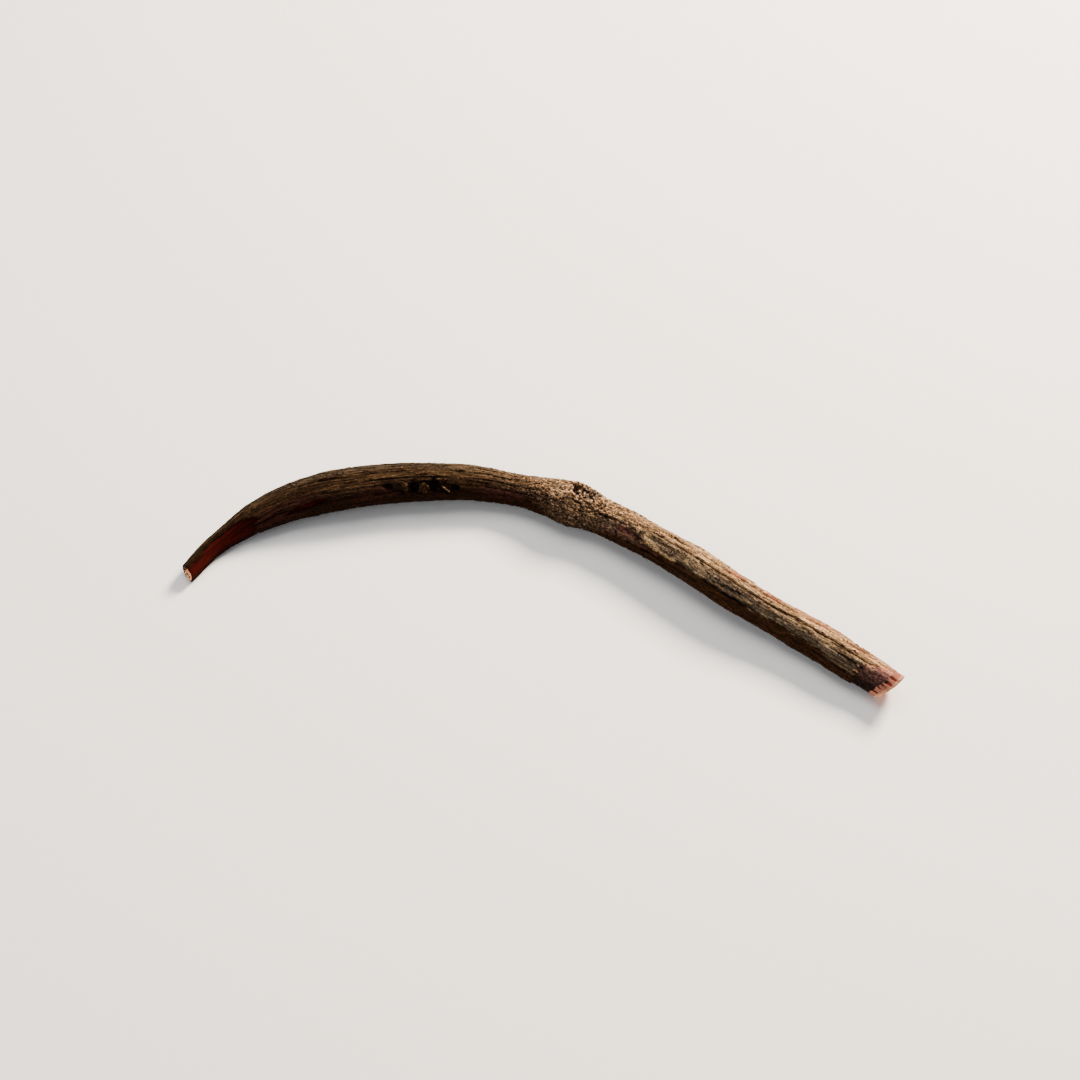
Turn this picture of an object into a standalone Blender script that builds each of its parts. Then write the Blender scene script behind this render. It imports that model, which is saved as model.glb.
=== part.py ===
"""Indian madder root: one dried, cut root, about 150 mm along its bend and 7 mm thick, lying on a surface.

+X runs along its longest side, +Z is up, and the origin is at the bottom of its box, in the middle.
A place on the root is given by two numbers. One is how far along it is, in metres from the left end. The other
is its turn, the angle round the root: 0 is on top, a quarter turn is the front (-Y), half is the underside.
"""

import math

import bmesh
import bpy
from mathutils import Vector, noise

MM = 0.001

# The root's middle seen from above (x, y), and how far its underside clears the surface, all in millimetres
ROUTE = [
    (-65.4, 2.1, 0.0),
    (-60.3, 8.8, 0.1),
    (-50.4, 15.7, 0.6),
    (-37.5, 19.4, 1.1),
    (-22.1, 21.6, 1.1),
    (-6.7, 21.2, 0.7),
    (8.8, 16.0, 0.4),
    (23.8, 6.6, 0.9),
    (38.2, -4.7, 1.0),
    (52.3, -14.2, 0.1),
    (64.4, -23.4, -0.1),
]
# Radius along the root: (along, radius), both in millimetres
GIRTH = [
    (0, 1.85),
    (9, 2.1),
    (18, 3.0),
    (32, 3.75),
    (48, 3.7),
    (59, 3.4),
    (67, 3.05),
    (75, 3.5),
    (84, 3.6),
    (98, 3.48),
    (109, 3.58),
    (126, 3.3),
    (136, 3.35),
    (145, 3.15),
    (153, 3.25),
]
SINK = 0.12 * MM  # how deep the three low spots are worn flat

RIDGES = 16
SEGMENTS = 3 * RIDGES  # one vertex in each crack and two on the flat top of each ridge
COARSE_STEP = 1.9 * MM
FINE_STEP = 0.85 * MM
CRACK_DEPTH = 0.32 * MM
USUAL_CRACK = 0.85  # shares of that depth: the usual one, how far it varies, and the least
CRACK_SPREAD = 1.1
LEAST_CRACK = 0.40
RIDGE_TOP = 0.4  # height of a ridge's flat top, as a share of its cracks' depth
WOOD_RELIEF = 0.3  # share of the bark's relief that the bare wood shows
SKEW = math.radians(4)  # how far the ridges wind to either side
SKEW_LENGTH = 31 * MM
SKEW_START = -1.9
OVAL = 0.035  # how far the section is out of round, as a share of the radius
OVAL_LENGTH = 19 * MM
LUMPS = 0.06  # height of its lumps, as a share of the radius
# The grain of what varies: (how fine round the root, how long along it, and a shift that sets each apart)
CRACK_GRAIN = (1.6, 11 * MM, 3.0)
LUMP_GRAIN = (0.8, 9 * MM, 11.0)
CRUMB_GRAIN = (6.0, 0.9 * MM, 27.0)
PEEL_GRAIN = (3.0, 3 * MM, 5.0)
BAND_GRAIN = (2.2, 8 * MM, 19.0)
# The deepest cracks: (which one, counted from the top towards the front, along, half length, extra depth)
DEEP_CRACKS = [
    (0, 46, 9, 0.30),
    (1, 66, 10, 0.20),
    (0, 117, 21, 0.35),
    (1, 132, 13, 0.30),
    (2, 124, 17, 0.25),
    (15, 110, 14, 0.20),
    (6, 38, 12, 0.25),
    (9, 104, 18, 0.30),
    (10, 62, 15, 0.30),
    (12, 126, 15, 0.25),
]

KNOB_AT = 79.3 * MM
KNOB_HALF_LENGTH = 3.9 * MM
KNOB_HEIGHT = 0.7 * MM
SCAR_AT = 81.0 * MM
SCAR_TURN = math.radians(-18)
SCAR_RADIUS = 2.3 * MM
SCAR_RISE = 0.45 * MM  # the stump of the broken side root, round the scar
SCAR_DEPTH = 0.55 * MM
SCAR_FLOOR = 0.55  # share of the scar's radius that is its broken floor
USUAL_CRUMB = 0.5  # shares of the scar's depth: the usual one, and how far it varies
CRUMB_SPREAD = 0.9

BARK_THICKNESS = 0.45 * MM
PEEL_END = 16.0 * MM  # the bark is gone from the front of the left end up to here
PEEL_RAGGED = 3.0 * MM
PEEL_TURN = math.radians(72)
PEEL_HALF_TURN = math.radians(70)
PEEL_RAGGED_TURN = math.radians(10)
BAND_START = 143.0 * MM  # the outer bark stops here, short of the right cut
BAND_RAGGED = 2.2 * MM
BAND_DROP = 0.25 * MM
PIT_FLOOR = 0.55  # a pit is level out to this share of its size, and ends at the next one
PIT_EDGE = 1.15
# Worn pits and hollows: (along, turn in degrees, half length, half width, depth), in millimetres
HOLLOWS = [
    (45.6, 41, 1.5, 0.7, 0.50),
    (48.2, 55, 1.7, 0.8, 0.65),
    (50.9, 46, 1.6, 0.8, 0.70),
    (53.4, 52, 1.8, 0.7, 0.65),
    (55.9, 66, 1.5, 0.7, 0.50),
    (92.8, 38, 3.7, 1.4, 0.35),
    (101.5, -12, 1.3, 0.6, 0.45),
    (102.6, 22, 1.2, 0.6, 0.40),
    (34.0, 200, 3.0, 0.9, 0.45),
    (121.0, 236, 3.5, 0.9, 0.45),
    (66.0, 262, 2.4, 0.8, 0.40),
]

RIGHT_CUT = (0.44, -0.15)  # how far the cut leans out at the top and at the front, as shares of the radius
LEFT_CUT = (0.10, -0.22)
CUT_REACH = 9.0 * MM
SPLINTERS = 24  # notches round the right rim
SPLINTER_DEPTH = 0.30 * MM
SPLINTER_REACH = 1.5 * MM
# Rings of a cut face from the rim inwards: (share of the radius, depth in millimetres)
CUT_RINGS = [(0.90, 0.05), (0.84, 0.22), (0.50, 0.08), (0.19, 0.16), (0.14, 1.20)]

BARK_SLOT, PEELED_SLOT, CUT_SLOT = range(3)
# (name, colour, roughness) of each finish
FINISHES = [
    ("bark", (0.20, 0.115, 0.06), 0.88),
    ("peeled red wood", (0.30, 0.045, 0.022), 0.75),
    ("cut wood", (0.55, 0.20, 0.09), 0.85),
]


def clear_scene():
    for obj in list(bpy.data.objects):
        bpy.data.objects.remove(obj, do_unlink=True)


def smooth_through(points, at):
    """The values at a distance, on a smooth curve through points that each hold a distance and its values."""
    last = len(points) - 2
    i = max(k for k in range(last + 1) if k == 0 or points[k][0] <= at)
    before, start = points[max(i - 1, 0)], points[i]
    end, after = points[i + 1], points[min(i + 2, last + 1)]
    span = end[0] - start[0]
    t = (at - start[0]) / span
    found = []
    for k in range(1, len(start)):
        slope_in = (end[k] - before[k]) / (end[0] - before[0]) * span
        slope_out = (after[k] - start[k]) / (after[0] - start[0]) * span
        found.append(
            (2 * t**3 - 3 * t**2 + 1) * start[k]
            + (t**3 - 2 * t**2 + t) * slope_in
            + (3 * t**2 - 2 * t**3) * end[k]
            + (t**3 - t**2) * slope_out
        )
    return found


def measured_route():
    """The route's points in metres, each with its distance from the left end in front."""
    along = 0.0
    points = []
    for i, (x, y, lift) in enumerate(ROUTE):
        if i:
            along += math.dist(ROUTE[i - 1][:2], (x, y)) * MM
        points.append((along, x * MM, y * MM, lift * MM))
    return points


ROUTE_POINTS = measured_route()
LENGTH = ROUTE_POINTS[-1][0]
GIRTH_POINTS = [(along * MM, radius * MM) for along, radius in GIRTH]


def smooth_step(low, high, value):
    t = min(max((value - low) / (high - low), 0.0), 1.0)
    return t * t * (3 - 2 * t)


def turn_between(turn, other):
    return (turn - other + math.pi) % (2 * math.pi) - math.pi


def girth(along):
    return smooth_through(GIRTH_POINTS, along)[0]


def root_frame(along):
    """The root's middle there, its direction, and the directions to its front and its top."""
    x, y, lift = smooth_through(ROUTE_POINTS, along)
    step = 0.2 * MM
    ahead = smooth_through(ROUTE_POINTS, along + step)
    behind = smooth_through(ROUTE_POINTS, along - step)
    heading = Vector((ahead[0] - behind[0], ahead[1] - behind[1], 0)).normalized()
    middle = Vector((x, y, lift + girth(along) - SINK))
    front = heading.cross(Vector((0, 0, 1)))
    return middle, heading, front, Vector((0, 0, 1))


def bark_noise(along, turn, grain):
    """Smooth noise from -1 to 1 that joins up round the root."""
    fineness, length, shift = grain
    place = (math.cos(turn) * fineness, math.sin(turn) * fineness + shift, along / length)
    return noise.noise(Vector(place))


def ridge_skew(along):
    return SKEW * math.sin(along / SKEW_LENGTH + SKEW_START)


def deep_crack(along, turn):
    """The extra depth where a crack is torn open."""
    ridge = 2 * math.pi / RIDGES
    deepest = 0.0
    for count, at, half_length, depth in DEEP_CRACKS:
        out_long = (along / MM - at) / half_length
        if abs(turn_between(turn, count * ridge)) < ridge / 2 and abs(out_long) < 1:
            deepest = max(deepest, depth * MM * (1 - out_long**4))
    return deepest


def ridge_relief(along, turn):
    """Flat-topped ridges with narrow cracks between them, deeper here and there."""
    turn -= ridge_skew(along)
    wave = math.cos(RIDGES * turn)
    share = USUAL_CRACK + CRACK_SPREAD * bark_noise(along, turn, CRACK_GRAIN)
    depth = CRACK_DEPTH * max(share, LEAST_CRACK)
    if wave > 0:
        depth += deep_crack(along, turn)
    return -depth * max(wave, -RIDGE_TOP)


def uneven_section(along, turn):
    """A section that is a little oval and lumpy, as a share of the radius."""
    oval = OVAL * math.cos(2 * turn + along / OVAL_LENGTH)
    return oval + LUMPS * bark_noise(along, turn, LUMP_GRAIN)


def knob_relief(along, turn):
    """The swelling where a side root grew, its stump, and the crumbled hollow where it broke off."""
    far = (along - KNOB_AT) / KNOB_HALF_LENGTH
    across = turn_between(turn, SCAR_TURN) * (girth(along) + KNOB_HEIGHT)
    reach = math.hypot(along - SCAR_AT, across) / SCAR_RADIUS
    stump = SCAR_RISE * (1 - smooth_step(1.0, 2.0, reach))
    crumbs = USUAL_CRUMB + CRUMB_SPREAD * bark_noise(along, turn, CRUMB_GRAIN)
    hollow = SCAR_DEPTH * crumbs * (1 - smooth_step(SCAR_FLOOR, 1.0, reach))
    return KNOB_HEIGHT * math.exp(-far * far) + stump - hollow


def hollow_relief(along, turn):
    deepest = 0.0
    for at, degrees, half_long, half_wide, depth in HOLLOWS:
        out_long = (along / MM - at) / half_long
        out_wide = turn_between(turn, math.radians(degrees)) * girth(along) / MM / half_wide
        reach = math.hypot(out_long, out_wide)
        deepest = max(deepest, depth * MM * (1 - smooth_step(PIT_FLOOR, PIT_EDGE, reach)))
    return -deepest


def peeled(along, turn):
    """True where the bark is gone at the left end and the red wood shows."""
    ragged = bark_noise(along, turn, PEEL_GRAIN)
    end = PEEL_END + PEEL_RAGGED * ragged
    half = PEEL_HALF_TURN + PEEL_RAGGED_TURN * ragged
    return along < end and abs(turn_between(turn, PEEL_TURN)) < half


def bare_band(along, turn):
    """True on the dark band beside the right cut, where the outer bark has come off."""
    return along > BAND_START + BAND_RAGGED * bark_noise(along, turn, BAND_GRAIN)


def splinter_relief(along, turn):
    """Notches that the cutter tore into the right rim."""
    near = smooth_step(LENGTH - SPLINTER_REACH, LENGTH, along)
    return -SPLINTER_DEPTH * near * (0.5 + 0.5 * math.cos(SPLINTERS * (turn - ridge_skew(along))))


def radius_at(along, turn):
    radius = girth(along) * (1 + uneven_section(along, turn))
    radius += knob_relief(along, turn) + hollow_relief(along, turn)
    ridges = ridge_relief(along, turn)
    if peeled(along, turn):
        return radius - BARK_THICKNESS + WOOD_RELIEF * ridges
    if bare_band(along, turn):
        return radius - BAND_DROP + WOOD_RELIEF * ridges + splinter_relief(along, turn)
    return radius + ridges


def slanted(along, turn):
    """The same distance along the root, shifted near each end so that the end lies in its slanted cut."""
    top, front = math.cos(turn), math.sin(turn)
    right = smooth_step(LENGTH - CUT_REACH, LENGTH, along) * girth(LENGTH)
    left = (1 - smooth_step(0, CUT_REACH, along)) * girth(0)
    along += right * (RIGHT_CUT[0] * top + RIGHT_CUT[1] * front)
    return along + left * (LEFT_CUT[0] * top + LEFT_CUT[1] * front)


def surface_point(along, turn):
    radius = radius_at(along, turn)
    middle, heading, front, up = root_frame(slanted(along, turn))
    point = middle + (up * math.cos(turn) + front * math.sin(turn)) * radius
    return Vector((point.x, point.y, max(point.z, 0.0)))


def stations():
    """Distances along the root for its rings, closer together at the knob and at both ends."""
    found = [0.0]
    while found[-1] < LENGTH:
        along = found[-1]
        gaps = (along, abs(along - KNOB_AT) - 4 * MM, LENGTH - along - 5 * MM)
        open_share = smooth_step(0, 9 * MM, min(gaps))
        found.append(along + FINE_STEP + (COARSE_STEP - FINE_STEP) * open_share)
    return [along * LENGTH / found[-1] for along in found]


def all_rings():
    """Every ring between the pith holes: (along, share of the radius, depth into the cut)."""
    left = [(0.0, share, depth * MM) for share, depth in reversed(CUT_RINGS)]
    right = [(LENGTH, share, depth * MM) for share, depth in CUT_RINGS]
    return left + [(along, 1.0, 0.0) for along in stations()] + right


def ring_point(ring, turn):
    along, share, depth = ring
    point = surface_point(along, turn)
    if share == 1.0:
        return point
    middle, heading, _, _ = root_frame(along)
    inwards = heading if along == 0.0 else -heading
    return middle + (point - middle) * share + inwards * depth


def material_of(face, rings):
    """Bark, peeled red wood or cut wood, read from the face's place in the flat grid."""
    middle = face.calc_center_median()
    column = (middle.x + 1) / 2 * (len(rings) - 1)
    ring, after = rings[math.floor(column)], rings[math.ceil(column)]
    if min(ring[1], after[1]) < 1.0:
        return CUT_SLOT
    turn = (middle.y + 1) * math.pi + ridge_skew(ring[0])
    return PEELED_SLOT if peeled((ring[0] + after[0]) / 2, turn) else BARK_SLOT


def roll_up(bm):
    """A flat grid rolled round the route, one column of squares for each ring of the root."""
    rings = all_rings()
    bmesh.ops.create_grid(bm, x_segments=len(rings) - 1, y_segments=SEGMENTS, size=1)
    for face in bm.faces:
        face.material_index = material_of(face, rings)
        face.smooth = face.material_index != CUT_SLOT
    for vert in bm.verts:
        ring = rings[round((vert.co.x + 1) / 2 * (len(rings) - 1))]
        turn = (vert.co.y + 1) * math.pi + ridge_skew(ring[0])
        vert.co = ring_point(ring, turn)
    bmesh.ops.remove_doubles(bm, verts=bm.verts, dist=0.001 * MM)


def close_pith_holes(bm):
    for face in bmesh.ops.holes_fill(bm, edges=[e for e in bm.edges if e.is_boundary])["faces"]:
        face.material_index = CUT_SLOT


def flatten_rests(bm):
    """Each low spot on the surface made one flat face."""
    flat = [f for f in bm.faces if all(v.co.z < 0.001 * MM for v in f.verts)]
    verts = list({v for f in flat for v in f.verts})
    edges = [e for e in {e for f in flat for e in f.edges} if all(f in flat for f in e.link_faces)]
    bmesh.ops.dissolve_limit(bm, angle_limit=math.radians(0.1), verts=verts, edges=edges)


def finish(name, colour, roughness):
    material = bpy.data.materials.new(name)
    material.use_nodes = True
    shader = material.node_tree.nodes["Principled BSDF"]
    shader.inputs["Base Color"].default_value = (*colour, 1)
    shader.inputs["Roughness"].default_value = roughness
    shader.inputs["Metallic"].default_value = 0.0
    material.diffuse_color = (*colour, 1)
    return material


def make_root(collection):
    bm = bmesh.new()
    roll_up(bm)
    close_pith_holes(bm)
    flatten_rests(bm)
    bmesh.ops.recalc_face_normals(bm, faces=bm.faces)
    mesh = bpy.data.meshes.new("madder_root")
    bm.to_mesh(mesh)
    bm.free()
    for name, colour, roughness in FINISHES:
        mesh.materials.append(finish(name, colour, roughness))
    root = bpy.data.objects.new("madder_root", mesh)
    collection.objects.link(root)


def main():
    clear_scene()
    collection = bpy.data.collections.new("Indian madder root")
    bpy.context.scene.collection.children.link(collection)
    make_root(collection)


main()
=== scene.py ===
import random
from functools import cache, partial
from math import cos, dist, exp, hypot, pi, radians, sin

import bmesh
import bpy
from mathutils import Matrix, Vector, noise


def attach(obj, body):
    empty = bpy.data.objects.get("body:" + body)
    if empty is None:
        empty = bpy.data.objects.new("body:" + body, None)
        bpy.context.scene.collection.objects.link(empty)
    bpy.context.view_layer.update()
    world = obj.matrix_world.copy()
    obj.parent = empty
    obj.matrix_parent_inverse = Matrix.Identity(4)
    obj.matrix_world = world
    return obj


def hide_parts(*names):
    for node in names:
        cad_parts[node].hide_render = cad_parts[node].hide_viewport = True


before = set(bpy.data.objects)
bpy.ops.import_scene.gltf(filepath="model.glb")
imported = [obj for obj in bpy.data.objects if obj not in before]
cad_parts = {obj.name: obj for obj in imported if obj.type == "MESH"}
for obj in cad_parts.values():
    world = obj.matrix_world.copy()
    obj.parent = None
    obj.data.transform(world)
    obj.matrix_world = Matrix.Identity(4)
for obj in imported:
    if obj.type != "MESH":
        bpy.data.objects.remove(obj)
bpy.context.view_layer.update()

mm = 0.001

# Millimetres and degrees. A place on the root is how far along it is from its left end, and its turn:
# 0 on top, 90 in front, 180 underneath.
form = {
    # x, y of its middle, and how far its underside clears the table
    "route": [
        (-65.4, 2.1, 0), (-60.3, 8.8, 0.1), (-50.4, 15.7, 0.6), (-37.5, 19.4, 1.1), (-22.1, 21.6, 1.1),
        (-6.7, 21.2, 0.7), (8.8, 16, 0.4), (23.8, 6.6, 0.9), (38.2, -4.7, 1), (52.3, -14.2, 0.1),
        (64.4, -23.4, -0.1),
    ],
    # along, radius
    "girth": [
        (0, 1.85), (9, 2.1), (18, 3), (32, 3.75), (48, 3.7), (59, 3.4), (67, 3.05), (75, 3.5), (84, 3.6),
        (98, 3.48), (109, 3.58), (126, 3.3), (136, 3.35), (145, 3.15), (153, 3.25),
    ],
    "sink": 0.12,            # the low spots are worn this flat
    "rightCut": (0.44, -0.15),   # lean of the cut at its top and front, as shares of the radius
    "leftCut": (0.1, -0.22),
    "cutReach": 9,
    "ridges": 16,
    "skew": 4,               # how far the ridges wind to either side
    "crackDepth": 0.32,
    # crack, counted from the top to the front, along, half length, how much deeper
    "deepCracks": [
        (0, 46, 9, 0.22), (1, 66, 10, 0.1), (0, 117, 21, 0.3), (1, 124, 22, -0.16), (2, 124, 22, -0.06),
        (15, 110, 14, 0.2), (6, 38, 12, 0.25), (9, 104, 18, 0.3), (10, 62, 15, 0.3), (12, 126, 15, 0.25),
    ],
}


def smoothThrough(points, at):
    # on a smooth curve through points that hold a distance and their values
    last = len(points) - 2
    i = max(k for k in range(last + 1) if k == 0 or points[k][0] <= at)
    before, start = points[max(i - 1, 0)], points[i]
    end, after = points[i + 1], points[min(i + 2, last + 1)]
    span = end[0] - start[0]
    t = (at - start[0]) / span
    found = []
    for k in range(1, len(start)):
        slopeIn = (end[k] - before[k]) / (end[0] - before[0]) * span
        slopeOut = (after[k] - start[k]) / (after[0] - start[0]) * span
        found.append(
            (2 * t**3 - 3 * t**2 + 1) * start[k] + (t**3 - 2 * t**2 + t) * slopeIn
            + (3 * t**2 - 2 * t**3) * end[k] + (t**3 - t**2) * slopeOut
        )
    return found


def measuredRoute():
    along = 0
    points = []
    for i, (x, y, lift) in enumerate(form["route"]):
        if i:
            along += dist(form["route"][i - 1][:2], (x, y))
        points.append((along, x, y, lift))
    return points


routePoints = measuredRoute()
rootLength = routePoints[-1][0]


def rise(low, high, value):
    # 0 up to low, 1 from high on, smooth between them
    t = min(max((value - low) / (high - low), 0), 1)
    return t * t * (3 - 2 * t)


def fall(low, high, value):
    return 1 - rise(low, high, value)


def bell(value, middle, width):
    return exp(-((value - middle) / width) ** 2)


def blend(a, b, share):
    return a + (b - a) * share


def turnFrom(turn, other):
    return (turn - other + pi) % (2 * pi) - pi


def fromTop(turn):
    # degrees from the top, positive towards the front
    return turnFrom(turn, 0) * (180 / pi)


@cache
def girthAt(along):
    return smoothThrough(form["girth"], along)[0]


def awayRound(along, turn, degrees):
    # millimetres round the root from the line at so many degrees
    return turnFrom(turn, radians(degrees)) * girthAt(along)


@cache
def frameAt(along):
    # the root's middle, its heading, and the ways to its front and top
    x, y, lift = smoothThrough(routePoints, along)
    ahead = smoothThrough(routePoints, along + 0.2)
    behind = smoothThrough(routePoints, along - 0.2)
    heading = Vector((ahead[0] - behind[0], ahead[1] - behind[1], 0)).normalized()
    middle = Vector((x, y, lift + girthAt(along) - form["sink"]))
    up = Vector((0, 0, 1))
    return middle, heading, heading.cross(up), up


def slanted(along, turn):
    # each end lies in its slanted cut
    top, front = cos(turn), sin(turn)
    reach = form["cutReach"]
    right = rise(rootLength - reach, rootLength, along) * girthAt(rootLength)
    left = fall(0, reach, along) * girthAt(0)
    along += right * (form["rightCut"][0] * top + form["rightCut"][1] * front)
    return along + left * (form["leftCut"][0] * top + form["leftCut"][1] * front)


def placeOn(along, turn, radius):
    middle, _, front, up = frameAt(slanted(along, turn))
    point = middle + (up * cos(turn) + front * sin(turn)) * radius
    point.z = max(point.z, 0)
    return point * mm


def drawnIn(point, along, share):
    # the point drawn towards the middle, for the faces that close an end
    middle = frameAt(along)[0] * mm
    return middle + (point - middle) * share


def ripple(along, turn, grainRound, grainAlong, seed):
    # smooth noise from -1 to 1 that joins up round the root
    x, y = cos(turn) * grainRound, sin(turn) * grainRound + seed
    return noise.noise(Vector((x, y, along / grainAlong)))


def ridgeSkew(along):
    return radians(form["skew"]) * sin(along / 31 - 1.9)


def deepCrack(along, turn):
    ridge = 2 * pi / form["ridges"]
    deeper = 0
    for count, at, halfLength, depth in form["deepCracks"]:
        outLong = (along - at) / halfLength
        if abs(turnFrom(turn, count * ridge)) < ridge / 2 and abs(outLong) < 1:
            deeper += depth * (1 - outLong**4)
    return deeper


def sectionAt(along, turn):
    # the root's radius there, without its relief
    oval = 0.035 * cos(2 * turn + along / 19)
    return girthAt(along) * (1 + (oval + 0.06 * ripple(along, turn, 0.8, 9, 11)))


# The swelling where a side root grew, and the scar where it broke off
knob = {
    "at": 79.3, "halfLength": 3.9, "height": 0.7,
    "scarAt": 81.6, "scarTurn": -16, "scarRadius": 2.2, "scarStretch": 1.25,
    "scarRise": 0.45, "scarDepth": 0.85, "wrinkleGap": 0.66, "wrinkleDepth": 0.2,
    "roughAt": 81, "roughReach": 6,
}


def scarReach(along, turn):
    across = turnFrom(turn, radians(knob["scarTurn"])) * (girthAt(along) + knob["height"])
    return hypot((along - knob["scarAt"]) / knob["scarStretch"], across) / knob["scarRadius"]


@cache
def knobRelief(along, turn):
    # the knob's height, and how low it is there, which gives the painted shade in its hollow and wrinkle
    # troughs
    far = (along - knob["at"]) / knob["halfLength"]
    swell = knob["height"] * exp(-far * far)
    reach = scarReach(along, turn)
    if reach > 3.2:
        return swell, 0
    stump = knob["scarRise"] * fall(1, 2, reach)
    crumbs = 0.75 + 0.9 * ripple(along, turn, 6, 0.9, 27) + 1.1 * ripple(along, turn, 12, 0.45, 29)
    darkSide = 1 + 0.9 * rise(0.6, 2.2, knob["scarAt"] - along)
    hollow = knob["scarDepth"] * darkSide * crumbs * fall(0.7, 1, reach)
    out = reach * knob["scarRadius"] + 0.5 * ripple(along, turn, 3, 2, 31)
    wave = cos(out * 6.283 / knob["wrinkleGap"])
    wrinkles = knob["wrinkleDepth"] * wave * rise(1, 1.3, reach) * fall(1.9, 2.8, reach)
    wrinkles *= rise(0, 0.45, turnFrom(turn, radians(knob["scarTurn"])))
    wrinkles *= rise(-2.2, -0.4, along - knob["scarAt"])
    return swell + stump - hollow + wrinkles, max(hollow, 0) - 1.6 * min(wrinkles, 0)


# Pits and hollows in the bark: along, turn, half length, half width, depth
hollows = [
    (49.8, 55, 7.6, 1.5, 0.25), (43.3, 47, 1.1, 0.7, 0.45), (48.3, 55, 0.95, 1.5, 0.75),
    (52.3, 51, 1.1, 1.5, 0.75), (56.3, 60, 0.9, 0.9, 0.6), (54, 68, 1.1, 0.6, 0.5),
    (50.2, 59, 1.5, 1.4, 0.65), (46.4, 73, 1.2, 0.35, 0.45), (93, 42, 3.1, 1, 0.05),
    (143.4, 27, 0.28, 0.22, 0.35), (34, 200, 3, 0.9, 0.45), (121, 236, 3.5, 0.9, 0.45),
    (66, 262, 2.4, 0.8, 0.4),
]


def hollowRelief(along, turn):
    deepest = 0
    for at, degrees, long, wide, depth in hollows:
        outLong = (along - at) / long
        if abs(outLong) > 1.6:
            continue
        reach = hypot(outLong, awayRound(along, turn, degrees) / wide)
        reach += 0.3 * ripple(along, turn, 6, 0.9, 37)
        deepest = max(deepest, 1.3 * depth * fall(0.75, 1.08, reach))
    return -deepest - 0.16 * strokeAt("dark", along, turn) + 0.05 * strokeAt("pale", along, turn)


# Short cracks, painted dark as shade, and thin raised edges, by tone: along and turn of both ends, half
# width, strength
strokes = {
    "dark": [
        (30, 8, 41, 10, 0.15, 0.6), (38, 24, 56, 22, 0.2, 0.8), (43, 4, 50, 7, 0.15, 0.6),
        (48, -14, 58, -10, 0.14, 0.5), (56, 26, 63.5, 38, 0.18, 0.6), (79.8, 18, 83.4, 35, 0.14, 0.6),
        (80.6, 8, 85, 23, 0.14, 0.55), (82.6, 4, 87, 14, 0.14, 0.4), (85.7, 30, 89.6, 28, 0.24, 0.7),
        (86.8, -20, 93.5, -27, 0.32, 0.35), (88, -36, 97, -40, 0.26, 0.35), (89.5, -6, 95, -11, 0.22, 0.35),
        (94, -14, 103, -20, 0.3, 0.3), (94.5, -30, 97, -32, 0.15, 0.6), (97.5, -44, 108, -36, 0.28, 0.3),
        (100.8, -24, 102.7, -15, 0.26, 1), (104.6, -4, 107, -8, 0.15, 0.7), (108, 9, 109.6, 14, 0.16, 0.9),
        (110.2, 46, 111.8, 42, 0.2, 0.8), (111.3, 9, 113, 8, 0.16, 0.8), (113, 34, 114.9, 31, 0.18, 0.8),
        (114.3, 15, 117.6, 6, 0.15, 0.7), (115.8, 28, 118.4, 23, 0.2, 0.9),
        (117.4, 10, 122.2, 5, 0.18, 0.9), (121.5, 7, 128.5, 9, 0.17, 0.8),
        (124, -14, 127.2, -18, 0.15, 0.7), (128.6, 9, 132, 6, 0.18, 0.8), (130.3, 17, 133.4, 21, 0.17, 0.8),
        (132.6, 8, 136, 5, 0.2, 0.9), (136, 13, 142.4, 3, 0.17, 0.8), (138.2, 28, 143, 26, 0.2, 0.8),
        (139, -52, 142.4, -53, 0.22, 0.8),
    ],
    "pale": [
        (40, 17, 46, 16, 0.12, 0.5), (44, -6, 53, -4, 0.12, 0.5), (79.6, 22, 82.6, 40, 0.14, 0.8),
        (80.4, 14, 84, 30, 0.16, 1), (81.4, 6, 86, 19, 0.12, 0.8), (84.2, 34, 86.2, 49, 0.15, 0.6),
        (90.2, 50, 95.2, 55, 0.1, 0.4), (91.5, 46, 96, 50, 0.08, 0.3), (108, 43, 111.2, 40, 0.15, 0.8),
        (111, 40, 116.2, 39, 0.1, 0.7), (115.8, 39, 121.6, 33, 0.1, 0.6), (122.5, 47, 127, 45, 0.12, 0.4),
    ],
}


@cache
def strokeAt(tone, along, turn):
    most = 0
    for low, start, high, end, wide, strength in strokes.get(tone, ()):
        share = (along - low) / (high - low)
        if not 0 < share < 1:
            continue
        line = blend(start, end, share) + 2.5 * ripple(along, 0, 1, 0.8, low)
        out = abs(awayRound(along, turn, line)) / wide
        ends = rise(0, 0.15, share) * fall(0.8, 1, share)
        most = max(most, strength * ends * fall(0.6, 1.3, out))
    return most


# Worn ground that ends at a crosswise edge of thicker bark (along, turn)
wornEdge = {"from": (92.2, 5), "to": (98.4, 50), "drop": 0.2, "reach": 6}


def wornRelief(along, turn):
    (low, start), (high, end) = wornEdge["from"], wornEdge["to"]
    if not low - wornEdge["reach"] < along < high + 1:
        return 0
    share = (fromTop(turn) - start) / (end - start)
    edge = blend(low, high, share) + 0.7 * ripple(along, turn, 6, 1.4, 39)
    across = rise(-0.15, 0.1, share) * fall(0.95, 1.25, share)
    near = rise(edge - wornEdge["reach"], edge - 1.5, along) * fall(edge - 0.25, edge, along)
    return -wornEdge["drop"] * across * near


# The outer layer of bark ends in a ragged edge along the front; past it the bark is painted dark, partly
# its underside's tone and partly painted shade
outerLayer = {"start": 93, "end": 138, "turn": 50, "ragged": 5, "drop": 0.15}


def beyondLayer(along, turn):
    # degrees past that edge, and how marked the edge is there
    ragged = ripple(along, turn, 2, 2.4, 121) + 0.6 * ripple(along, turn, 7, 0.8, 123)
    marked = rise(outerLayer["start"], outerLayer["start"] + 6, along)
    marked *= fall(outerLayer["end"] - 3, outerLayer["end"], along)
    return fromTop(turn) - outerLayer["turn"] - outerLayer["ragged"] * ragged, marked


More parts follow.
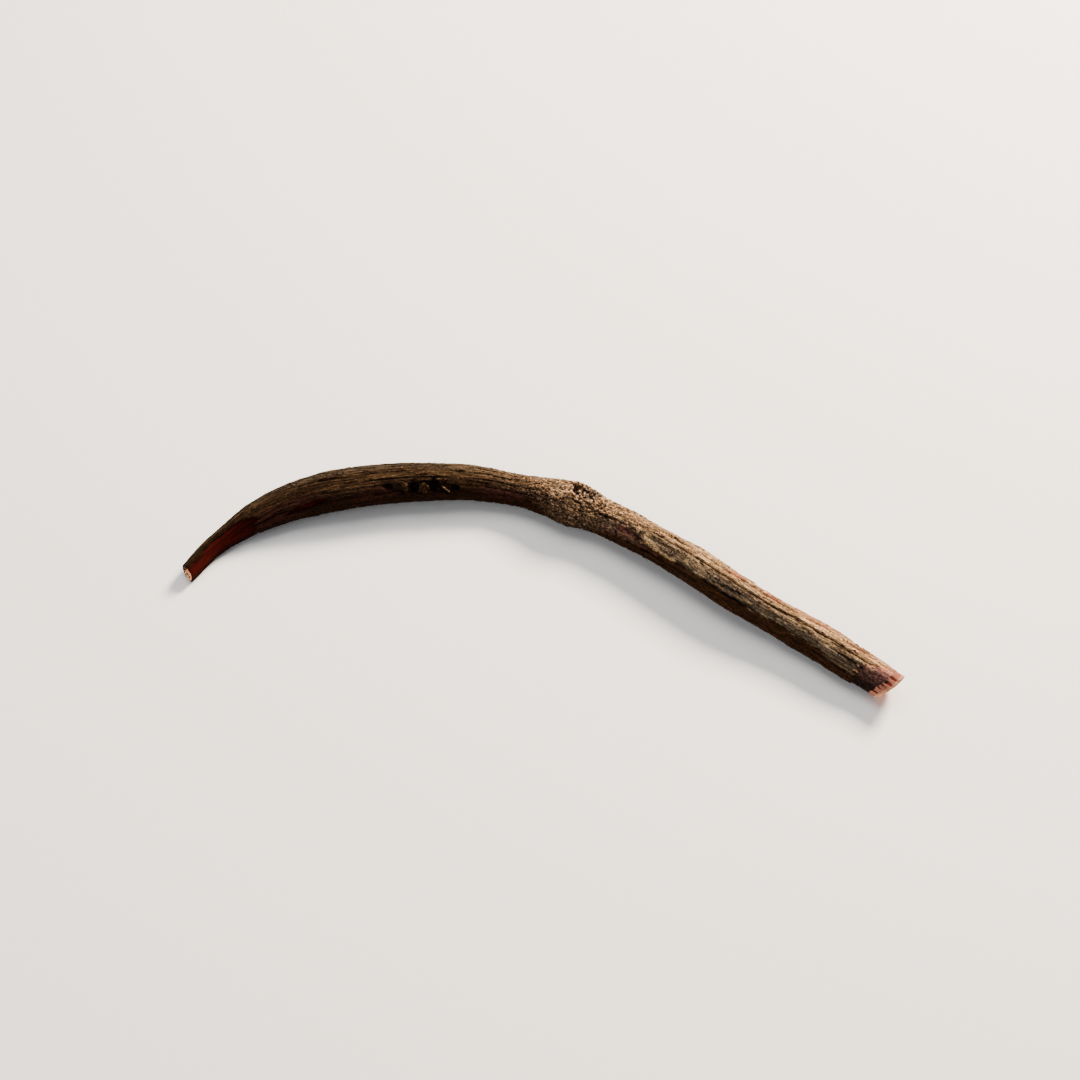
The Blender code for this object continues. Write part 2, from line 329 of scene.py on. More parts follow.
def layerRelief(along, turn):
    beyond, marked = beyondLayer(along, turn)
    return -outerLayer["drop"] * marked * rise(0, 5, beyond) * fall(50, 100, beyond)


# A slit torn through to the red wood (along, turn)
slit = {"from": (22.6, 76), "to": (31.2, 56), "halfWidth": 0.55, "depth": 0.72}


def slitRelief(along, turn):
    (low, start), (high, end) = slit["from"], slit["to"]
    share = (along - low) / (high - low)
    if not 0 < share < 1:
        return 0
    line = blend(start, end, share) + 3 * ripple(along, 0, 1, 2, 125)
    wide = slit["halfWidth"] * (4 * share * (1 - share)) ** 0.5
    wide *= 1 + 0.5 * ripple(along, 0, 1, 0.8, 127)
    out = abs(awayRound(along, turn, line)) / max(wide, 0.01)
    return -slit["depth"] * fall(0.7, 1.25, out)


# Small raised rings: along, turn, radius
lenticels = [(144.8, 8, 0.38), (48.2, -36, 0.36)]


def lenticelRelief(along, turn):
    # height of the ring, and how much of its dark middle
    for at, degrees, radius in lenticels:
        if abs(along - at) < 2 * radius:
            out = hypot(along - at, awayRound(along, turn, degrees)) / radius
            return 0.14 * bell(out, 0.95, 0.33), fall(0.4, 0.7, out)
    return 0, 0


# The bark: its fine relief, and where it is gone
bark = {
    "around": 160, "step": 0.278, "fineStep": 0.18,
    "fineSpans": [(-1, 1), (9, 19), (76, 87), (139.5, 150)],
    "wander": 0.05, "shiver": 0.028,          # how far a crack strays from its line, in radians
    "fissureDepth": 0.1, "plateHeight": 0.05, "plateGap": 0.06, "lumpHeight": 0.06, "crumbHeight": 0.08,
    "dashHeight": 0.09,
    "thickness": 0.45,
    "peelEnd": 16, "peelTurn": 72, "peelHalfTurn": 70, "peelEdge": 0.3,
    "bandStart": 143, "bandTopStart": 2.8, "bandDrop": 0.25,
    "rimStart": 147.75, "rimNarrows": 1.1, "underWood": 0.5,
}


def crackOpening(along, turn):
    # how open the crack is, from 0 on a ridge to 1 in the crack, its depth, and the turn it strays to
    t = turn - ridgeSkew(along)
    depth = form["crackDepth"] * max(0.85 + 1.1 * ripple(along, t, 1.6, 11, 3), 0.4)
    depth *= min(max(0.75 + 1.5 * ripple(along, t, 4.5, 13, 45), 0.15), 1.2)
    depth *= blend(0.7, 1, rise(40, 70, along)) * (0.9 + 0.7 * ripple(along, t, 6, 1.6, 47))
    depth *= 1 - 0.5 * bell(along, 87, 9)
    strayed = t + bark["wander"] * ripple(along, t, 2.2, 6, 41)
    strayed += bark["shiver"] * ripple(along, t, 7, 1.3, 43)
    wave = cos(form["ridges"] * strayed)
    if wave > 0:
        depth = max(depth + deepCrack(along, t), 0.06)
    return rise(0.3, 1, wave), depth, strayed


def peelInside(along, turn):
    # millimetres inside the patch at the left end where the bark is gone
    ragged = ripple(along, turn, 3, 3, 5)
    fine = ripple(along, turn, 9, 1, 71)
    end = bark["peelEnd"] + 3 * ragged + 0.8 * fine
    half = radians(bark["peelHalfTurn"] + 10 * ragged + 4 * fine)
    return min(end - along, (half - abs(turnFrom(turn, radians(bark["peelTurn"])))) * girthAt(along))


def bandInside(along, turn):
    degrees = fromTop(turn)
    edge = bark["bandStart"] + bark["bandTopStart"] * fall(-30, 30, degrees) * rise(-150, -60, degrees)
    edge += 0.9 * ripple(along, turn, 2.2, 8, 19) + 0.8 * ripple(along, turn, 8, 0.9, 73)
    return along - edge


def rimInside(along, turn):
    # the splintered rim is widest and most ragged on top
    edge = bark["rimStart"] + bark["rimNarrows"] * rise(25, 95, fromTop(turn))
    ragged = 0.3 * ripple(along, turn, 4, 3, 75) + 0.4 * ripple(along, turn, 11, 1, 77)
    return along - edge - (1 - 0.7 * rise(45, 75, fromTop(turn))) * ragged


def linedAt(along):
    # how much of the grain runs in lines: most at the left, none on the knob
    return max(fall(50, 74, along), 0.65 * rise(86, 104, along))


@cache
def dashAt(along, turn):
    # short raised flecks and long thin lines, from 0 between them to 1
    dash = ripple(along, turn, 14, 0.7, 55) + 0.4 * ripple(along, turn, 20, 0.4, 57)
    line = 1.1 * ripple(along, turn, 14, 5, 58)
    return rise(-0.16, 0.18, blend(dash, line, linedAt(along)))


def fineRelief(along, turn, strayed, opening):
    # fine meandering fissures, scaly plates, lumps, flecks and crumbs
    line = abs(ripple(along, strayed, 6.5, 6.5, 61))
    height = -bark["fissureDepth"] * fall(0, 0.1, line) * rise(-0.4, 0.3, ripple(along, turn, 4, 4, 63))
    distances, places = noise.voronoi(Vector((cos(turn) * 3.4, sin(turn) * 3.4, along / 2.4)))
    height += bark["plateHeight"] * noise.cell(places[0] * 11.3)
    height -= bark["plateGap"] * fall(0.02, 0.2, distances[1] - distances[0])
    height *= 1 - 0.6 * opening
    height += bark["lumpHeight"] * ripple(along, turn, 3.2, 1.9, 65)
    crumb = ripple(along, turn, 7, 0.62, 53) + 0.8 * ripple(along, turn, 13, 0.36, 59)
    height += bark["dashHeight"] * (dashAt(along, turn) - 0.5)
    # rougher on the knob, all but low on its front
    knobby = bell(along, knob["roughAt"], knob["roughReach"]) * (1 - 1.3 * rise(45, 75, fromTop(turn)))
    rough = 1 - 0.65 * linedAt(along) + 0.8 * knobby
    height += bark["crumbHeight"] * rough * (crumb if crumb > 0 else 1.7 * crumb)
    return height * blend(0.55, 1, rise(35, 75, along))


@cache
def barkAt(along, turn):
    # the bark's radius, its painted shade from its relief, from 0 deep in a crack to 1, and how bare the
    # band is
    opening, depth, strayed = crackOpening(along, turn)
    ridges = depth * (0.28 - 1.28 * opening)
    fine = fineRelief(along, turn, strayed, opening)
    hollow = hollowRelief(along, turn) + wornRelief(along, turn) + layerRelief(along, turn)
    swell, low = knobRelief(along, turn)
    radius = sectionAt(along, turn) + swell + slitRelief(along, turn)
    band = rise(0, 0.25, bandInside(along, turn))
    drop = bark["bandDrop"] * blend(0.4, 1, rise(-0.2, 0.6, turnFrom(turn, 0)))
    bare = radius + 0.3 * ridges + 0.35 * fine - drop + 0.02 * cos(along * 6.283 / 0.45)
    full = radius + ridges + fine + hollow
    radius = blend(full, bare, band) + lenticelRelief(along, turn)[0]
    peel = rise(0, bark["peelEdge"], peelInside(along, turn))
    rim = rise(0, 0.3, rimInside(along, turn))
    radius -= peel * (bark["thickness"] + bark["underWood"]) + rim * bark["underWood"]
    relief = 0.72 + (ridges + fine + 1.2 * hollow - 0.9 * low) * (1 - 0.5 * band) / 0.62 - 0.8 * peel
    relief = min(max(relief, 0), 1)
    return radius, relief, band


# Stains, worn places and painted shade, by tone: along, turn, half length, half width, strength
stains = {
    "purple": [
        (21, 80, 6, 1.5, 0.45), (24, 48, 8, 1.4, 0.5), (42, 62, 6, 1.6, 0.35), (65.5, 62, 5, 1.1, 0.6),
        (88, 64, 2.6, 0.7, 0.4), (93.2, 42, 3.1, 1, 1), (98.5, 62, 2.6, 0.6, 0.5),
    ],
    "pink": [
        (114.6, -24, 2.1, 0.65, 0.9), (116.8, -38, 1.6, 0.45, 0.8), (120.6, -38, 1.9, 0.5, 0.9),
        (123, -27, 2.6, 0.65, 0.9), (128, -44, 9, 0.8, 0.45), (132, -31, 5, 0.6, 0.6),
        (141.5, -30, 3, 0.9, 0.5),
    ],
    "pale": [
        (46, 11, 11, 0.8, 0.25), (74, -30, 4, 1.3, 0.3), (77, 8, 2.6, 1.6, 0.6), (79.8, -46, 1.6, 0.7, 0.2),
        (82.5, 40, 4, 1.2, 0.3), (94.2, 18, 1.5, 1, 0.7), (96.8, 32, 1.5, 0.9, 0.7),
        (98.9, 43, 1.6, 0.7, 0.75), (102, 48, 2, 0.4, 0.7), (106, -20, 6, 0.9, 0.3),
        (107.5, 20, 4, 1.2, 0.3), (134, 19, 7, 0.7, 0.35), (143, 48, 0.5, 0.25, 1),
    ],
    # the dark tone is painted shade in the trench's gaps, the pits and hollows, and beside cracks
    "dark": [
        (43.3, 47, 0.9, 0.7, 0.8), (48.3, 54, 1, 1.8, 1), (50.2, 58, 1.5, 1.5, 0.9),
        (52.3, 50, 1.2, 1.8, 1), (54, 68, 1, 0.7, 0.9), (56.3, 60, 0.9, 0.9, 0.9), (73, 28, 3, 0.8, 0.25),
        (108, 39, 4, 0.9, 0.35), (116, 42, 5, 1.1, 0.6), (131, 34, 4, 0.5, 0.3), (139.5, 37, 3, 0.7, 0.4),
        (141.2, -28, 2.2, 0.3, 0.6), (143.4, 27, 0.3, 0.24, 0.9),
    ],
    "ash": [
        (81.6, -16, 2.5, 1.9, 0.5),
    ],
    "mauve": [
        (146.6, 14, 2.2, 1, 1), (147.2, -40, 1, 0.8, 0.7),
    ],
}
barkValues = ("relief", "dash", "band", "ageAndShade", "left", "lined", *stains)     # what the bark's points hold

# The bark's age and painted shade by its turn: 0 the youngest, tan; 0.5 olive; 1 the dark brown of the
# underside, partly its own tone, partly painted shade on the front and underside
ageingAndShade = {
    "turns": [
        (-180, 1), (-150, 1), (-120, 0.8), (-80, 0.35), (-38, 0), (-8, 0.03),
        (12, 0.36), (30, 0.46), (50, 0.58), (78, 0.95), (110, 1), (181, 1),
    ],
    # degrees that the tones lie nearer to the top
    "leftShift": 18, "tipShift": 75, "knobShift": -46, "besideKnob": 24,
    "leftEnd": 46, "leftFade": 120,          # the left stretch is darker and greyer: its own tone and painted shade
    "ragged": 8, "fineRagged": 6,
}


def ageAndShadeAt(along, turn):
    # the bark's age and painted shade, and how much it has the left stretch's tones and painted shade
    left = fall(ageingAndShade["leftEnd"], ageingAndShade["leftFade"], along)
    degrees = fromTop(turn)
    shift = ageingAndShade["leftShift"] * fall(40, 66, along) + ageingAndShade["tipShift"] * fall(8, 20, along)
    shift += ageingAndShade["knobShift"] * bell(along, knob["roughAt"], knob["roughReach"])
    shift += ageingAndShade["besideKnob"] * bell(along, 66, 8) * rise(30, 55, degrees)
    degrees += shift * (2 * rise(-60, 0, degrees) - 1)
    degrees += ageingAndShade["ragged"] * ripple(along, turn, 2.5, 7, 111)
    degrees += ageingAndShade["fineRagged"] * ripple(along, turn, 8, 3.5, 113)
    degrees = min(max(degrees, -180), 180)
    beyond, marked = beyondLayer(along, turn)
    for (low, below), (high, above) in zip(ageingAndShade["turns"], ageingAndShade["turns"][1:]):
        if degrees <= high:
            ageAndShade = blend(below, above, (degrees - low) / (high - low))
            # past the outer layer's edge the age goes to the underside's dark brown, partly as painted
            # shade
            return blend(ageAndShade, max(ageAndShade, 1), marked * rise(-2, 4, beyond) * (degrees > 0)), left
    return 1, left


def stainAt(tone, along, turn):
    ring, middle = lenticelRelief(along, turn)
    most = max(strokeAt(tone, along, turn), {"pale": 4.5 * ring, "dark": 0.5 * middle}.get(tone, 0))
    for at, degrees, long, wide, strength in stains[tone]:
        if abs(along - at) > 1.7 * long:
            continue
        outWide = awayRound(along, turn, degrees) / wide
        reach = hypot((along - at) / long, outWide) + 0.45 * ripple(along, turn, 5, 1.6, 81)
        reach += 0.35 * ripple(along, turn, 12, 0.6, 83)
        most = max(most, strength * fall(0.7, 1.05, reach))
    return most


def spacedRings(spacing):
    # distances along the root, closer together in the fine spans
    found = [0]
    while found[-1] < rootLength:
        gaps = [max(low - found[-1], found[-1] - high, 0) for low, high in spacing["fineSpans"]]
        step = blend(spacing["fineStep"], spacing["step"], rise(0, 3, min(gaps)))
        found.append(found[-1] + step)
    return [along * rootLength / found[-1] for along in found]


def startMesh(names):
    # a new mesh whose points hold a place for patterns and these values
    bm = bmesh.new()
    layers = bm.verts.layers
    layers.float_vector.new("place")
    for name in names:
        layers.float.new(name)
    return bm, layers.float_vector["place"], [layers.float[name] for name in names]


def setValues(vert, layers, values):
    for layer, value in zip(layers, values):
        vert[layer] = value


def rollTube(name, rings, around, pointAt, layerNames):
    # a flat grid rolled round the root, closed by rings that meet in a point
    bm, place, layers = startMesh(layerNames)
    bmesh.ops.create_grid(bm, x_segments=len(rings) - 1, y_segments=around, size=1)
    for vert in bm.verts:
        ring = rings[round((vert.co.x + 1) / 2 * (len(rings) - 1))]
        turn = (vert.co.y + 1) * pi
        vert.co, vert[place], values = pointAt(ring, turn)
        setValues(vert, layers, values)
    bmesh.ops.remove_doubles(bm, verts=bm.verts, dist=1e-7)
    return makePiece(name, bm)


def addObject(name, data):
    added = bpy.data.objects.new(name, data)
    bpy.context.scene.collection.objects.link(added)
    return added


def makePiece(name, bm, smooth=True):
    if smooth:
        bmesh.ops.recalc_face_normals(bm, faces=bm.faces)
        for face in bm.faces:
            face.smooth = True
    mesh = bpy.data.meshes.new(name)
    bm.to_mesh(mesh)
    bm.free()
    return addObject(name, mesh)


def dressPiece(piece, material):
    piece.data.materials.clear()
    piece.data.materials.append(material)
    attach(piece, "root")
    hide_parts("madder_root")
    print(piece.name, len(piece.data.polygons), "faces")


def unrolled(along, turn):
    # a place for patterns, in millimetres
    return Vector((along, 3.5 * cos(turn), 3.5 * sin(turn)))


def barkPoint(ring, turn):
    along, share = ring
    turn += ridgeSkew(along)
    radius, relief, band = barkAt(along, turn)
    found = [relief, dashAt(along, turn), band, *ageAndShadeAt(along, turn), linedAt(along)]
    found += [stainAt(tone, along, turn) for tone in stains]
    return drawnIn(placeOn(along, turn, radius), along, share), unrolled(along, turn), found


def makeBark():
    rings = [(0, 0), (0, 0.5)] + [(along, 1) for along in spacedRings(bark)]
    rings += [(rootLength, 0.5), (rootLength, 0)]
    return rollTube("rootBark", rings, bark["around"], barkPoint, barkValues)


# The bare red wood at the left end, which also shows in the torn slit
redWood = {"end": 33, "around": 160, "step": 0.3, "grain": 0.07}


def redWoodPoint(ring, turn):
    along, share = ring
    turn += ridgeSkew(along)
    opening, depth, _ = crackOpening(along, turn)
    grain = ripple(along, turn, 11, 6, 91) + 0.6 * ripple(along, turn, 22, 4, 93)
    radius = sectionAt(along, turn) - bark["thickness"]
    radius += 0.3 * depth * (0.28 - 1.28 * opening) + redWood["grain"] * grain
    radius -= 0.9 * rise(redWood["end"] - 2, redWood["end"], along)
    return drawnIn(placeOn(along, turn, radius), along, share), unrolled(along, turn), [grain]


def makeRedWood():
    count = round(redWood["end"] / redWood["step"])
    rings = [(0, 0), (0, 0.6)] + [(redWood["end"] * i / count, 1) for i in range(count + 1)]
    rings += [(redWood["end"], 0.5), (redWood["end"], 0)]
    return rollTube("redWood", rings, redWood["around"], redWoodPoint, ("grain",))


# The two cut faces: plugs of bare wood that stand a little out of the bark
cuts = {
    "leftCutFace": {
        "end": 0, "outward": -1, "seed": 0, "reach": 1.5, "splinters": 0,
        "proud": 0.07, "inset": 0.5, "backInset": 0.6, "rim": 0.05, "pith": 0.15,
    },
    "rightCutFace": {
        "end": rootLength, "outward": 1, "seed": 40, "reach": 3, "splinters": 17,
        "proud": 0.1, "inset": 0.24, "backInset": 0.85, "rim": 0.16, "pith": 0.14,
    },
}
cutWood = {
    "around": 192, "faceRings": 30, "sideRings": 16,
    "poreGap": 0.38, "poreDepth": 0.16, "lumps": 0.14, "pithDepth": 1.3, "splinterDepth": 0.35,
    "pit": (1.1, -37, 0.5, 0.42),      # back from the face, turn, half length, half width
    # at the front of the rim: turn, half width, how deep
    "grooves": [(5, 0.26, 1), (29, 0.3, 1), (46, 0.16, 0.5), (62, 0.12, 0.3), (-14, 0.12, 0.4)],
}


def grooveAt(cut, along, back, turn, radius):
    # how deep it is between the splinters, from 0 to 1
    start = ripple(0, turn, 12, 1, 94)
    wave = 0.6 * cos(cut["splinters"] * turn + 4 * ripple(0, turn, 3, 3, 95))
    wave += 0.9 * ripple(along, turn, 7, 1.6, 97) + 0.5 * ripple(along, turn, 16, 0.8, 98)
    groove = rise(0.22, 0.6, wave) * rise(0.1, 0.6, back + 0.4 * start)
    groove *= 1 - rise(-35, -20, fromTop(turn)) * fall(75, 90, fromTop(turn))
    uneven = 0.4 * ripple(along, turn, 9, 0.7, 96)
    for middle, wide, deep in cutWood["grooves"]:
        wide *= blend(0.5, 1.1, min(back / 1.6, 1))
        across = abs(turnFrom(turn, radians(middle - 3 * back))) * radius / wide
        inner = rise(0.25, 0.8, back + 0.5 * start)
        groove = max(groove, deep * inner * fall(0.6, 1.2, across + uneven))
    pitBack, pitTurn, long, wide = cutWood["pit"]
    across = turnFrom(turn, radians(pitTurn)) * radius / wide
    return max(groove, fall(0.6, 1.1, hypot((back - pitBack) / long, across)))


def cutSide(cut, back, turn):
    # radius of the plug's side, back from its face, and the groove there
    along = cut["end"] - cut["outward"] * back
    opening, depth, _ = crackOpening(along, turn)
    inset = blend(cut["inset"], cut["backInset"], rise(1.9, 2.5, back))
    radius = sectionAt(along, turn) - inset
    radius += 0.25 * depth * (0.28 - 1.28 * opening)
    groove = grooveAt(cut, along, back, turn, radius) if cut["splinters"] else 0
    radius -= cutWood["splinterDepth"] * groove
    return radius - 0.6 * rise(cut["reach"] - 0.6, cut["reach"], back), groove


def cutFaceRelief(cut, share, turn, radius):
    across = Vector((cos(turn), sin(turn), 0)) * share * radius
    across.z = cut["seed"]
    distances, _ = noise.voronoi(across / cutWood["poreGap"])
    pores = -cutWood["poreDepth"] * fall(0.12, 0.42, distances[0]) * rise(0.2, 0.3, share)
    lumps = cutWood["lumps"] * (noise.noise(across / 0.9) + 0.6 * noise.noise(across / 0.35))
    ray = -0.14 * rise(0.45, 0.8, ripple(share * 2, turn, 5, 3, cut["seed"] + 7)) * rise(0.2, 0.4, share)
    pith = -cutWood["pithDepth"] * fall(cut["pith"] * 0.8, cut["pith"] * 1.25, share)
    edge = -cut["rim"] * rise(0.9, 1, share)
    return pores + lumps + ray + pith + edge


def cutPoint(cut, ring, turn):
    back, share = ring
    turn += ridgeSkew(cut["end"])
    radius, groove = cutSide(cut, back, turn)
    along = cut["end"] - cut["outward"] * back
    point = drawnIn(placeOn(along, turn, radius), along, share)
    if back == 0:
        heading = frameAt(cut["end"])[1]
        raised = cut["proud"] + cutFaceRelief(cut, share, turn, radius)
        jagged = 0.25 * ripple(0, turn, 12, 1, 99) * rise(0.85, 1, share) if cut["splinters"] else 0
        point += heading * cut["outward"] * (raised + jagged) * mm
    return point, point / mm, [share if back == 0 else 1, groove, back]


def makeCut(name, cut):
    sides, faces = cutWood["sideRings"], cutWood["faceRings"]
    rings = [(cut["reach"], 0), (cut["reach"], 0.6)]
    rings += [(cut["reach"] * (1 - i / sides) ** 1.3, 1) for i in range(sides)]
    rings += [(0, 1 - i / faces) for i in range(faces + 1)]
    return rollTube(name, rings, cutWood["around"], partial(cutPoint, cut), ("share", "groove", "back"))


# Small bits are modelled flat, with x along the root and y round it, then wrapped onto the bark
def wrapOnBark(place, verts, along, turn):
    for vert in verts:
        here = along + vert.co.x
        there = turn + vert.co.y / girthAt(along)
        radius = barkAt(round(along, 2), round(turn, 3))[0]
        vert[place] = unrolled(here, there)
        vert.co = placeOn(here, there, radius + vert.co.z)


def addChip(bm, dice, size, stretch):
    # an angular crumb
    verts = bmesh.ops.create_icosphere(bm, subdivisions=2, radius=size)["verts"]
    offset = Vector((dice.uniform(0, 90), dice.uniform(0, 90), dice.uniform(0, 90)))
    angle = dice.uniform(0, 6.3)
    axis = Vector((dice.random(), dice.random(), dice.random() + 0.1)).normalized()
    spin = Matrix.Rotation(angle, 3, axis)
    for vert in verts:
        bump = 1 + 0.9 * noise.noise(vert.co / size * 1.1 + offset)
        vert.co = spin @ (vert.co * bump)
        vert.co.x *= stretch
        vert.co.z *= 0.75
    return verts


scarCrumbs = {"count": 74, "seed": 3, "size": (0.11, 0.22), "lift": (-0.15, 0.36), "openSide": -0.45}


def makeScarCrumbs():
    # worm-like lumps that fill the scar, all but its dark left side
    dice = random.Random(scarCrumbs["seed"])
    bm, place, layers = startMesh(("relief", "dash", "ash", "ageAndShade"))
    for i in range(scarCrumbs["count"]):
        angle, out = dice.uniform(0, 6.283), dice.random() ** 0.5 * 1.1
        size, lift = dice.uniform(*scarCrumbs["size"]), dice.uniform(*scarCrumbs["lift"])
        if out * cos(angle) < scarCrumbs["openSide"] and i % 5:
            continue
        along = knob["scarAt"] + out * cos(angle) * knob["scarRadius"] * knob["scarStretch"]
        turn = radians(knob["scarTurn"])
        turn += out * sin(angle) * knob["scarRadius"] / (girthAt(along) + knob["height"])
        verts = addChip(bm, dice, size, dice.uniform(1, 2.9))
        bmesh.ops.rotate(bm, verts=verts, matrix=Matrix.Rotation(dice.uniform(-1.3, 1.3), 3, "Z"))
        for vert in verts:
            top = min(max(0.5 + 0.6 * vert.co.z / size, 0), 1)
            # each crumb is painted darker low down, as shade
            setValues(vert, layers, (0.9 * top, top, 0.9, 0.2))
            vert.co.z += lift * (1 - 0.6 * out)
        wrapOnBark(place, verts, along, turn)
    return makePiece("scarCrumbs", bm, smooth=False)


def thickenUnder(bm, verts, thickness):
    # gives a flat sheet an underside, and returns the vertices of that
    faces = list({face for vert in verts for face in vert.link_faces})
    sides = bmesh.ops.extrude_face_region(bm, geom=faces)["geom"]
    lower = [item for item in sides if isinstance(item, bmesh.types.BMVert)]
    for vert in lower:
        vert.co.z -= thickness
    return lower


# Scales of bark in the hollows: along, turn, half length, half width, lean, taper, lift, age and painted
# shade
scales = [
    (46.5, 56, 0.95, 1.35, -0.25, 0.85, 0.1, 0.38), (50.2, 60, 1, 1.2, 0, -0.1, 0, 0.68),
    (54.7, 65, 0.26, 0.85, -2, 0.2, 0.16, 0.1), (57.9, 62, 0.8, 0.9, 0.2, 0.3, -0.04, 0.8),
    (143.1, 48, 0.45, 0.2, 0.1, 0.3, 0.1, 0), (96.4, 50, 0.5, 0.3, 0.2, 0.5, 0.1, 0.3),
    (98.7, 49, 0.6, 0.3, -0.3, 0.5, 0.14, 0.2),
]


def addScales(bm, place, layers):
    for along, degrees, long, wide, lean, taper, lift, scaleAgeAndShade in scales:
        turn = radians(degrees)
        verts = bmesh.ops.create_grid(bm, x_segments=9, y_segments=9, size=1)["verts"]
        for vert in verts:
            x, y = vert.co.x, vert.co.y
            ragged = noise.noise(Vector((x * 1.6, y * 1.6, along)))
            ragged += 0.6 * noise.noise(Vector((x * 4, y * 4, along)))
            reach = max(hypot(x, y), 0.01)
            rounded = blend(1, max(abs(x), abs(y)) / reach, 0.7) * (1 + 0.25 * ragged)
            x, y = x * rounded, y * rounded
            vert.co.z = lift * (1 - 0.5 * y) + 0.07 * ragged - 0.1 * reach**3
            vert.co.x = x * long * (1 - taper * 0.5 * (1 + y)) + lean * -0.5 * y
            vert.co.y = y * wide
        lower = thickenUnder(bm, verts, 0.14)
        left = ageAndShadeAt(along, turn)[1] * (0.5 if scaleAgeAndShade < 0.3 else 1)
        for vert in verts + lower:
            here, there = along + vert.co.x, turn + vert.co.y / girthAt(along)
            vert[place] = unrolled(here, there)
            # painted shade: the scales' undersides are a little darker
            setValues(vert, layers, (0.75 if vert in verts else 0.4, 0.5, scaleAgeAndShade, left))
            outside = sectionAt(here, there) + knobRelief(here, there)[0] - 0.08
            vert.co = placeOn(here, there, outside + vert.co.z)


barkFlakes = {
    "count": 170, "seed": 8,
    "length": (0.9, 3.4), "width": (0.25, 0.8), "lift": (0.02, 0.16), "thickness": 0.09,
}


def makeBarkFlakes():
    dice = random.Random(barkFlakes["seed"])
    bm, place, layers = startMesh(("relief", "dash", "ageAndShade", "left"))
    addScales(bm, place, layers)
    for _ in range(barkFlakes["count"]):
        along, turn = dice.uniform(18, 141), dice.uniform(0, 6.283)
        if scarReach(along, turn) < 1.5 or peelInside(along - 2, turn) > -1:
            continue
        length, width = dice.uniform(*barkFlakes["length"]), dice.uniform(*barkFlakes["width"])
        lift, offset = dice.uniform(*barkFlakes["lift"]), dice.uniform(0, 90)
        verts = bmesh.ops.create_grid(bm, x_segments=7, y_segments=3, size=0.5)["verts"]
        for vert in verts:
            ragged = noise.noise(Vector((vert.co.x * 5 + offset, vert.co.y * 3, offset)))
            taper = 1 - 0.7 * abs(2 * vert.co.x) ** 2.5
            vert.co.z = 0.03 + lift * (vert.co.x + 0.5) ** 2 + 0.03 * ragged
            vert.co.y = (vert.co.y * taper + 0.16 * ragged) * width
            vert.co.x *= length
        lower = thickenUnder(bm, verts, barkFlakes["thickness"])
        wrapOnBark(place, verts + lower, along, turn)
        tone = dice.uniform(0.6, 1)
        for vert in verts + lower:
            setValues(vert, layers, (tone, 0.3 + 0.5 * tone, *ageAndShadeAt(along, turn)))
    return makePiece("barkFlakes", bm)


# Thin fibres that stand off the root: along, turn, how far each runs along, round and out, thickness
fibres = [
    (52, -27, 0.5, 0.2, 1.3, 0.16), (54, -48, 0.4, -0.3, 1, 0.14), (36, 96, 3, 0.5, 0.8, 0.12),
    (47.3, 60, 1.6, -0.4, 0.25, 0.13), (96.5, 92, 2.2, 0.8, 0.7, 0.1), (17.2, 30, -2.6, 0.4, 0.5, 0.12),
]


def makeFibres():
    pieces = startMesh(())[0]
    for i, (along, degrees, run, round_, out, thickness) in enumerate(fibres):
        turn = radians(degrees)
        curve = bpy.data.curves.new("fibre", "CURVE")
        curve.dimensions = "3D"
        curve.bevel_depth = thickness / 2 * mm
        curve.bevel_resolution = 2
        curve.use_fill_caps = True
        spline = curve.splines.new("POLY")
        spline.points.add(11)
        for k, point in enumerate(spline.points):
            share = k / 11
            here = along + run * share
            there = turn + round_ * share / girthAt(along)
            bend = 0.12 * ripple(here, there, 4, 0.7, 101 + i) * share
            radius = barkAt(round(here, 2), round(there, 3))[0]
            point.co = (*placeOn(here, there + bend, radius - 0.1 + out * share**1.6), 1)
            point.radius = 1 - 0.75 * share
        holder = bpy.data.objects.new("fibre", curve)
        mesh = bpy.data.meshes.new_from_object(holder)
        pieces.from_mesh(mesh)
        bpy.data.objects.remove(holder)
        bpy.data.curves.remove(curve)
        bpy.data.meshes.remove(mesh)
    bmesh.ops.remove_doubles(pieces, verts=pieces.verts, dist=2e-6)
    place = pieces.verts.layers.float_vector["place"]
    for vert in pieces.verts:
        vert[place] = vert.co / mm
    return makePiece("looseFibres", pieces)


# Nodes
def addNode(kind, inputs, tree=None, **settings):
    # in the tree given, or else in that of its inputs
    sockets = [value for value in inputs.values() if isinstance(value, bpy.types.NodeSocket)]
    tree = tree or sockets[0].id_data
    node = tree.nodes.new("ShaderNode" + kind)
    for key, value in settings.items():
        setattr(node, key, value)
    for key, value in inputs.items():
        if value in sockets:
            tree.links.new(value, node.inputs[key])
        else:
            node.inputs[key].default_value = value
    return node


def readValue(tree, name, output="Fac"):
    return addNode("Attribute", {}, tree, attribute_name=name).outputs[output]


def addNoise(place, along, across, detail=5, roughness=0.6):
    # noise with so many waves to a unit, along the root and across
    scaled = addNode("Mapping", {"Vector": place, "Scale": (along, across, across)}).outputs[0]
    settings = {"Vector": scaled, "Scale": 1, "Detail": detail, "Roughness": roughness}
    return addNode("TexNoise", settings).outputs["Fac"]


def addRamp(factor, stops):
    node = addNode("ValToRGB", {"Fac": factor})
    points = node.color_ramp.elements
    while len(points) < len(stops):
        points.new(0.5)
    for point, (position, colour) in zip(points, stops):
        point.position = position
        point.color = (*colour, 1) if isinstance(colour, tuple) else (colour, colour, colour, 1)
    return node.outputs["Color"]


def mixed(factor, below, above, kind="MIX"):
    below, above = ((*colour, 1) if isinstance(colour, tuple) else colour for colour in (below, above))
    node = addNode("Mix", {0: factor, 6: below, 7: above}, data_type="RGBA", blend_type=kind)
    return node.outputs[2]


def multiply(colour, other):
    return mixed(1, colour, other, "MULTIPLY")


